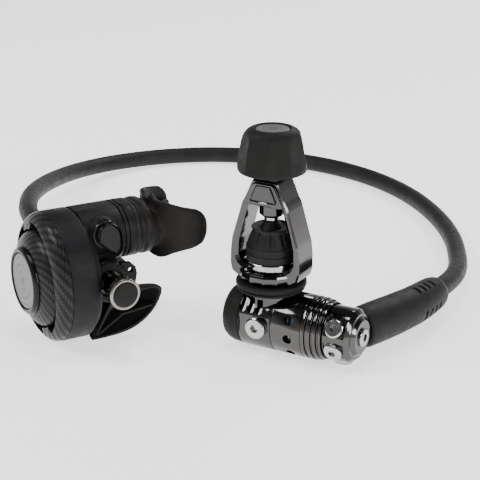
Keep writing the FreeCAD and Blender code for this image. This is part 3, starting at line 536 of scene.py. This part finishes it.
def yoke_frame():
    outline = mirrored([(16.5, 26.0), (22.0, 29.5), (23.3, 34.0), (23.3, 43.0), (22.4, 51.0),
                        (15.2, 75.0), (13.8, 77.0), (8.6, 88.6), (7.6, 89.6)])
    window = mirrored([(11.0, 33.4), (16.6, 37.2), (18.4, 41.0), (17.8, 50.0), (11.4, 73.2)])
    centre = Vector((0, YOKE_CENTRE_Z))
    corners = [math.atan2(z - YOKE_CENTRE_Z, x) % math.tau for x, z in outline + window]
    even = [math.tau * i / 48 for i in range(48)]
    even = [a for a in even if all(abs(a - c) > 0.03 for c in corners)]
    angles = sorted(corners + even)
    loops = []
    for side in (-1, 1):
        flat = side * 10.0
        rings = [radial_loop(outline, angles, centre, flat - side * 1.3),
                 radial_loop(outline, angles, centre, flat, -1.0),
                 radial_loop(window, angles, centre, flat, 2.3),
                 radial_loop(window, angles, centre, flat - side * 1.9)]
        loops += rings if side < 0 else rings[::-1]
    frame_shape = loft(loops, closed=True)
    plate = mirrored([(13.6, 74.2), (13.9, 75.4), (7.4, 87.4), (5.8, 88.3)])
    lip = mirrored([(7.6, 76.6), (8.6, 77.4), (8.6, 78.8), (5.3, 85.9), (4.2, 86.7)])
    floor = mirrored([(7.0, 77.2), (8.0, 77.9), (8.0, 79.0), (4.9, 85.6), (4.0, 86.2)])
    badge_rays = [math.tau * i / 64 for i in range(64)]
    badge_centre = Vector((0, 80.5))
    rings = [(plate, -9.5, 0), (plate, -11.0, 0), (plate, -11.6, -0.7), (lip, -11.6, 0.5),
             (lip, -11.2, 0), (floor, -10.6, 0)]
    raised = loft([radial_loop(points, badge_rays, badge_centre, y, grow)
                   for points, y, grow in rings])
    boss = lathe([(66.2, 4.8), (66.2, 6.4), (67.4, 7.6), (74.0, 7.6), (74.0, 4.8)], "z")
    base = lathe([(26.0, 9.3), (26.0, 16.9), (26.6, 17.9), (28.0, 19.1), (29.6, 19.6), (31.6, 19.4),
                  (32.8, 18.7), (33.4, 17.6), (33.4, 9.3)], "z", count=14)
    build("yoke_frame", joined(frame_shape, raised, boss, base), FIRST, BLACK_CHROME, "first_stage",
          ["yoke"], crease=22, edge=0.45)


KNOB_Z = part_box("yoke_knob")[0][2] / MM - FIRST_AT.z / MM
KNOB_PROFILE = [(0.0, 9.2), (0.0, 19.2), (0.5, 20.1), (1.7, 20.7), (3.5, 20.9), (6.5, 20.75),
                (10.5, 20.1), (14.5, 19.35), (18.5, 18.5), (21.5, 17.7), (23.3, 16.7),
                (24.8, 15.2), (25.9, 13.4), (26.4, 12.0), (26.5, 11.1), (26.1, 10.5),
                (24.6, 10.4), (24.4, 4.8), (0.0, 4.8)]


def knob_grip():
    """Rubber knob: nine shallow panels between soft ridges."""
    def panels(z, angle):
        across = ((math.degrees(angle) - 10) % 40 - 20) / 20
        height = ease((z - 1.0) / 5) * ease((25.0 - z) / 5)
        return -1.35 * height * (1 - across * across)
    knob = lathe(KNOB_PROFILE, "z", (0, 0, KNOB_Z), panels, 270)
    build("knob_grip", knob, FIRST, SOFT_BLACK, "yoke_screw", ["yoke_knob"], crease=40)


def inlet_cap():
    """Ribbed rubber dust cap with its upturned collar."""
    def ribs(z, angle):
        depth = ease((z - 49.4) / 1.2) * ease((57.4 - z) / 1.2)
        across = abs((math.degrees(angle) + 12) % 36 - 18)
        return -1.1 * depth * (1 - ease((across - 2.2) / 2.6))
    profile = [(38.9, 0), (38.9, 15.0), (39.4, 15.3), (43.0, 15.4), (43.4, 14.8), (44.6, 14.8),
               (45.0, 15.4), (47.6, 15.3), (48.1, 14.6), (49.0, 14.5), (50.2, 14.2), (52.0, 13.6),
               (54.5, 12.5), (56.6, 11.5), (57.4, 11.5), (58.8, 12.2), (59.3, 11.8), (58.6, 10.2),
               (57.9, 8.0), (58.2, 6.9), (59.6, 6.0), (61.8, 4.9), (62.5, 4.5), (62.9, 3.8),
               (62.9, 0)]
    build("inlet_cap", lathe(profile, "z", ripple=ribs, count=180), FIRST, GREY_BLACK, "dust_cap",
          ["dust_cap"], crease=38)


# ------------------------------------------------------------ second stage

TUBE_Z = 23.6
RIDGE = 112.0
OPEN_LONG, OPEN_SHORT = 35.2, 30.7


def carbon_ring():
    """Outer cover: a domed ring whose oval opening is crossed by two bridges."""
    skin = [(29.6, 23.75), (31.5, 23.7), (33.2, 23.3), (34.6, 22.8), (36.0, 22.1), (37.2, 21.3),
            (38.3, 20.3), (39.3, 19.1), (40.0, 17.9), (40.35, 16.6), (40.5, 15.6)]
    edges = [RIDGE + side + off for side in (0, 180) for off in (-11.5, -10.0, 10.0, 11.5)]
    angles = sorted([a % 360 for a in edges] + [3.0 * i for i in range(120)])
    loops = []
    for angle in angles:
        across = math.radians(angle - RIDGE)
        inner = OPEN_LONG * OPEN_SHORT / math.hypot(OPEN_SHORT * math.cos(across),
                                                    OPEN_LONG * math.sin(across))
        off = abs((angle - RIDGE + 90) % 180 - 90)
        if off < 10.5:
            inner = OPEN_SHORT
        inner = max(inner, OPEN_SHORT)
        turn = math.radians(angle)
        section = []
        for i in range(13):
            r = inner + (40.5 - inner) * (i / 12) ** 0.9
            section.append((between(skin, r), r))
        section += [(15.6, 38.0), (17.6, 37.4), (20.0, max(inner + 0.2, 34.4))]
        section.append((between(skin, inner) - 2.2, inner + 0.1))
        loops.append([(x, r * math.cos(turn), r * math.sin(turn)) for x, r in section])
    build("carbon_ring", loft(loops, closed=True), SECOND, CARBON, ROOT,
          ["outer_cover"], crease=40, edge=0.3)


def purge_dome():
    profile = [(27.2, 0), (27.2, 19.6), (26.0, 23.2), (24.0, 25.8), (21.4, 27.8), (20.2, 28.0),
               (20.2, 29.7), (20.9, 30.1), (21.8, 30.2), (22.9, 29.9), (24.0, 29.2), (25.3, 28.2),
               (26.6, 26.8), (27.8, 25.1), (28.7, 23.3), (29.3, 21.8), (29.55, 20.6), (29.6, 19.5),
               (29.6, 0)]
    stem = lathe([(10.8, 0), (10.8, 4.2), (27.6, 4.2), (27.6, 0)], count=48)
    build("purge_dome", joined(lathe(profile), stem), SECOND, CARBON, "purge_button",
          ["purge_button"], crease=35, edge=0.2)


LEVER_X, LEVER_Z = -14.0, 29.5
LEVER_OUTLINE = [(4.6, 5), (0.6, 7.1), (-4, 6.9), (-7.4, 4.3), (-9, 0), (-9.5, -5.6),
                 (-9, -10.6), (-7.2, -14.2), (-4.6, -13.8), (-0.6, -10.8), (3.2, -7.2),
                 (6.2, -3.6), (6.6, 1.2)]
LEVER_STEPS = (0.995, 0.98, 0.955, 0.92, 0.88, 0.84, 0.79, 0.72, 0.62, 0.5, 0.36, 0.2, 0.06)


def thumb_lever():
    """Teardrop lever with a dished face and a raised rim along its straight side."""
    outline = [Vector((x, z)) for x, z in curve_through(LEVER_OUTLINE, 8)]
    loops = [[(LEVER_X + p.x * scale, y, LEVER_Z + p.y * scale) for p in outline]
             for scale, y in ((0.93, 22.7), (1.0, 23.2), (1.0, 24.6))]
    for t in LEVER_STEPS:
        rim = math.exp(-((t - 0.92) / 0.06) ** 2)
        dish = 25.4 + 0.9 * t * t - 2.2 * max(0.0, t - 0.95) / 0.05 * 0.3
        loop = []
        for p in outline:
            side = 0.35 + 1.5 * ease((-p.x - 2) / 5)
            loop.append((LEVER_X + p.x * t, dish + rim * side, LEVER_Z + p.y * t))
        loops.append(loop)
    hub = lathe([(22.45, 0), (22.45, 8.6), (22.9, 8.9), (23.6, 8.6), (23.6, 0)], "y",
                (LEVER_X, 0, LEVER_Z))
    shaft = lathe([(10.5, 0), (10.5, 3.0), (23.0, 3.0), (23.0, 0)], "y",
                  (LEVER_X, 0, LEVER_Z), count=48)
    build("thumb_lever", joined(loft(loops), hub, shaft), SECOND, GLOSS_PLASTIC, "venturi_lever",
          ["venturi_lever"], crease=50)


DUCT_OUTLINE = [(-6.8, -36.9), (-4.6, -40.2), (-7.2, -41.0), (-15.0, -40.7), (-24.0, -40.0),
                (-33.0, -37.4), (-40.6, -31.8), (-45.8, -24.0), (-48.2, -15.5), (-47.9, -10.2),
                (-45.2, -7.6), (-40.0, -7.0), (-32.0, -7.4), (-25.6, -9.4), (-20.0, -12.0),
                (-14.8, -13.4), (-11.6, -21.0)]
DUCT_WALL = 2.1
DUCT_CENTRE = Vector((-26.0, -24.0))
DUCT_ROOT = Vector((-12.0, -27.0))
DUCT_FLOOR = -40.9


def waist(p, stop):
    """Draw the duct in towards the case between its two mouths."""
    scale = 0.70 + 0.30 * ease((abs(stop) - 0.1) / 0.85)
    q = DUCT_ROOT + (p - DUCT_ROOT) * scale
    return Vector((q.x, max(q.y, DUCT_FLOOR)))


def mouth_y(z):
    """Half width of the duct at a height: its mouths lean outwards at the top."""
    return 17 + 14 * (z + 42) / 38


def duct_loop(outline, stop):
    """The duct's section at a share of its half width."""
    loop = []
    for p in outline:
        drawn = waist(p, stop)
        loop.append((drawn.x, stop * (mouth_y(p.y) - 0.5), drawn.y))
    return loop


def exhaust_tee():
    outline = [Vector((x, max(z, DUCT_FLOOR))) for x, z in curve_through(DUCT_OUTLINE, 4)]
    inner = [p + (DUCT_CENTRE - p).normalized() * DUCT_WALL for p in outline]
    outer_stops = [-1 + i / 10 for i in range(21)]
    loops = [duct_loop(outline, stop) for stop in outer_stops]
    rim = [(o + i) / 2 for o, i in zip(outline, inner)]
    loops.append([(p.x, mouth_y(p.y), p.y) for p in rim])
    loops += [duct_loop(inner, stop) for stop in reversed(outer_stops)]
    loops.append([(p.x, -mouth_y(p.y), p.y) for p in rim])
    ribs = [rib(a, b, side) for side in (-1, 1)
            for a, b in (((-8.6, -38.4), (-23.6, -25.8)), ((-22.8, -25.6), (-46.6, -22.4)))]
    build("exhaust_tee", joined(loft(loops, closed=True), *ribs), SECOND, SOFT_BLACK, ROOT,
          ["exhaust_duct"], crease=45)


def rib(start, end, side):
    """Web across one mouth of the duct, set back from its rim."""
    a, b = Vector(start), Vector(end)
    run = (b - a).normalized()
    across = Vector((-run.y, run.x))
    loops = []
    for i in range(9):
        p = a + (b - a) * i / 8
        outer = side * (mouth_y(p.y) - 1.2)
        loop = []
        for thick, y in ((-0.95, 12 * side), (0.95, 12 * side), (0.95, outer - side),
                         (0.6, outer - side * 0.2), (-0.6, outer - side * 0.2),
                         (-0.95, outer - side)):
            c = p + across * thick
            loop.append((c.x, y, c.y))
        loops.append(loop)
    return loft(loops)


ARCH_R, ARCH_X = 29.2, -79.6
SHIELD = [(0, 40.6), (5, 41.2), (10, 43.4), (14, 44.4), (19, 42.2), (26, 41.2), (34, 41.0),
          (48, 39.8), (62, 38.3), (76, 37.2), (85, 34.4), (90, 30.0), (91.5, 25.0), (90, 19.4),
          (85, 14.8), (74, 11.8), (60, 10.2), (47, 8.0), (36, 5.2), (27, 4.0), (16, 4.6),
          (7, 6.0), (0, 6.8)]


def shield_edge(angle):
    """Where a ray from the bore meets the lip shield's edge: degrees round the arch, and z."""
    half = [Vector((math.radians(a) * ARCH_R, z - TUBE_Z)) for a, z in SHIELD]
    outline = [tuple(p) for p in half] + [(-p.x, p.y) for p in reversed(half[1:-1])]
    hit = radial_loop(outline, [angle], Vector((0, 0)), 0)[0]
    return Vector((hit[0], hit[2]))


def on_arch(s, z, out=0.0, bend=1.0):
    """Point on the dental arch: s round it from the middle, z up, out towards the case."""
    turn = s / ARCH_R
    radius = ARCH_R + out
    return (ARCH_X + radius * math.cos(turn), radius * math.sin(turn), TUBE_Z + z * bend)


def bite():
    """Silicone mouthpiece: ribbed neck, lip shield round the arch, and two bite tabs."""
    count = 96
    angles = [math.tau * i / count for i in range(count)]
    edges = [shield_edge(a) for a in angles]
    loops = []
    for x, grow in ((-36.4, -0.8), (-36.2, 0.2), (-37.4, 0.5), (-38.6, 0.4), (-39.2, -1.2),
                    (-42.4, -1.2), (-43.0, 0.3), (-44.4, 0.4), (-46.4, 0.0), (-48.2, -0.8)):
        loops.append(oval(41.4 + grow, 33.4 + grow, count, x, TUBE_Z))
    neck = [Vector((p[1], p[2] - TUBE_Z)) for p in oval(34.0, 26.0, count, 0, TUBE_Z)]
    for t, out in ((0.0, 2.4), (0.06, 1.2), (0.16, 0.5), (0.34, 0.1), (0.58, 0.0), (0.8, 0.0),
                   (0.94, 0.0), (0.985, -0.4), (1.0, -1.2)):
        loops.append([on_arch(n.x + (e.x - n.x) * t, n.y + (e.y - n.y) * t, out)
                      for n, e in zip(neck, edges)])
    for t, out in ((0.985, -2.1), (0.94, -2.5), (0.7, -2.6), (0.4, -2.6), (0.1, -2.8)):
        loops.append([on_arch(n.x + (e.x - n.x) * t, n.y + (e.y - n.y) * t, out)
                      for n, e in zip(neck, edges)])
    for x, width, height in ((-55.0, 28.6, 20.6), (-50.0, 28.0, 20.0), (-45.8, 28.0, 20.0),
                             (-45.7, 36.2, 28.2), (-37.0, 36.2, 28.2)):
        loops.append(oval(width, height, count, x, TUBE_Z))
    tabs = [bite_tab(side) for side in (-1, 1)]
    build("bite_mouthpiece", joined(loft(loops, closed=True), *tabs), SECOND, SILICONE, ROOT,
          ["mouthpiece"], crease=60)


def bite_tab(side):
    """Bridge and raised bite block inside the arch."""
    loops = []
    for angle, inner, half in ((30, 4.0, 2.0), (34, 8.0, 3.2), (44, 9.0, 3.4), (58, 8.6, 3.2),
                               (72, 8.0, 3.2), (80, 7.6, 3.6), (86, 7.0, 3.4), (90, 5.0, 2.2)):
        turn = math.radians(angle) * side
        loop = []
        for depth, z in ((2.0, -half * 0.5), (2.0, half * 0.5), (inner - 3, half * 0.6),
                         (inner - 2, half + 1.2), (inner, half + 0.6), (inner + 0.6, 0.0),
                         (inner, -half - 0.6), (inner - 2, -half - 1.2), (inner - 3, -half * 0.6)):
            radius = ARCH_R - depth
            loop.append((ARCH_X + radius * math.cos(turn), radius * math.sin(turn), TUBE_Z + z))
        loops.append(loop)
    return loft(loops)


# ------------------------------------------------------------- the CAD nodes

FINISHES = {
    "main_body": BLACK_CHROME, "piston_cap": BLACK_CHROME, "turret": BLACK_CHROME,
    "hose_fitting": BLACK_CHROME, "first_ferrule": BLACK_CHROME, "second_ferrule": BLACK_CHROME,
    "swivel_nut": BLACK_CHROME, "high_port_plugs": BRIGHT_CHROME, "low_port_plugs": BRIGHT_CHROME,
    "turret_bolt": BRIGHT_CHROME, "yoke_retainer": BRIGHT_CHROME, "screw_tip": BRIGHT_CHROME,
    "end_cap": SOFT_BLACK, "yoke_collar": SOFT_BLACK, "piston_seal": SOFT_BLACK,
    "seat_plug": BRASS, "valve_barrel": BLACK_METAL, "spring_pad": BRASS, "inlet_filter": BRONZE,
    "valve_seat": SEAT_PLASTIC, "poppet": SEAT_PLASTIC, "spring_bushing": BLUE_PLASTIC,
    "piston": STEEL, "main_spring": STEEL, "yoke_screw": STEEL, "purge_spring": STEEL,
    "poppet_spring": STEEL, "diaphragm_plate": STEEL, "demand_lever": STEEL, "orifice": STEEL,
    "yoke_badge": BADGE_METAL, "knob_disc": KNOB_DISC, "purge_emblem": EMBLEM,
    "diaphragm": CLEAR_SILICONE, "exhaust_flap": CLEAR_SILICONE, "case": CASE_PLASTIC,
    "retaining_band": BAND_PLASTIC, "front_grille": CASE_PLASTIC, "venturi_vane": CASE_PLASTIC,
    "mouthpiece_clamp": CASE_PLASTIC, "purge_ring": GLOSS_PLASTIC, "knob_face": CASE_PLASTIC,
    "adjusting_knob": CHAMPAGNE, "adjusting_stem": BLACK_METAL,
}
ROUNDED = {"main_body": 0.3, "piston_cap": 0.25, "turret": 0.35, "high_port_plugs": 0.3,
           "low_port_plugs": 0.3, "turret_bolt": 0.3, "yoke_retainer": 0.25, "end_cap": 0.5,
           "yoke_collar": 0.3, "case": 0.5, "retaining_band": 0.5, "purge_ring": 0.3,
           "purge_emblem": 0.2, "adjusting_knob": 0.15, "adjusting_stem": 0.15, "swivel_nut": 0.3,
           "hose_fitting": 0.3, "knob_disc": 0.15, "yoke_badge": 0.3, "knob_face": 0.3}


def dress_nodes():
    for name, node in frame["nodes"].items():
        if name in FINISHES:
            node.data.materials.clear()
            node.data.materials.append(FINISHES[name])
        if name in ROUNDED:
            node.modifiers.new("joined_corners", "WELD").merge_threshold = 1e-6
            soften(node, ROUNDED[name])


# -------------------------------------------------------------------- studio

def studio():
    floor_mesh = bpy.data.meshes.new("floor")
    floor_mesh.from_pydata([(-6, -6, 0), (6, -6, 0), (6, 6, 0), (-6, 6, 0)], [], [(0, 1, 2, 3)])
    floor = bpy.data.objects.new("floor", floor_mesh)
    floor.location.z = -0.0004
    bpy.context.scene.collection.objects.link(floor)
    paper = Finish("paper", Roughness=0.85, Emission_Strength=1.25)
    paper.shader.inputs["Emission Color"].default_value = shade(1.0)
    paper.colour(paper.mix(paper.noise(30, 2), shade(0.93), shade(0.95)))
    floor_mesh.materials.append(paper.material)
    softbox("key", (-0.9, -0.7, 1.3), 0.9, 0.5, 16)
    softbox("side", (1.5, -0.3, 0.75), 0.35, 0.9, 14)
    softbox("back", (0.1, 1.5, 1.2), 1.2, 0.3, 14)
    softbox("top", (0.0, 0.1, 1.7), 0.8, 0.25, 8)
    world = bpy.data.worlds.new("studio")
    bpy.context.scene.world = world
    world.use_nodes = True
    tree = world.node_tree
    height = tree.nodes.new("ShaderNodeSeparateXYZ")
    tree.links.new(tree.nodes.new("ShaderNodeTexCoord").outputs["Generated"], height.inputs[0])
    ramp = tree.nodes.new("ShaderNodeValToRGB")
    ramp.color_ramp.elements[0].color = shade(0.95)
    ramp.color_ramp.elements[0].position = 0.03
    ramp.color_ramp.elements[1].color = shade(0.10)
    ramp.color_ramp.elements[1].position = 0.55
    tree.links.new(height.outputs["Z"], ramp.inputs[0])
    tree.links.new(ramp.outputs[0], tree.nodes["Background"].inputs["Color"])


def softbox(name, place, width, height, power):
    light = bpy.data.lights.new(name, "AREA")
    light.shape, light.size, light.size_y, light.energy = "RECTANGLE", width, height, power
    lamp = bpy.data.objects.new(name, light)
    lamp.location = place
    towards = Vector((0, 0.05, 0.05)) - Vector(place)
    lamp.rotation_euler = towards.to_track_quat("-Z", "Y").to_euler()
    bpy.context.scene.collection.objects.link(lamp)


hose_piece = hose()
sleeve_piece = hose_sleeve()
yoke_frame()
knob_grip()
inlet_cap()
carbon_ring()
purge_dome()
thumb_lever()
exhaust_tee()
bite()
dress_nodes()
studio()
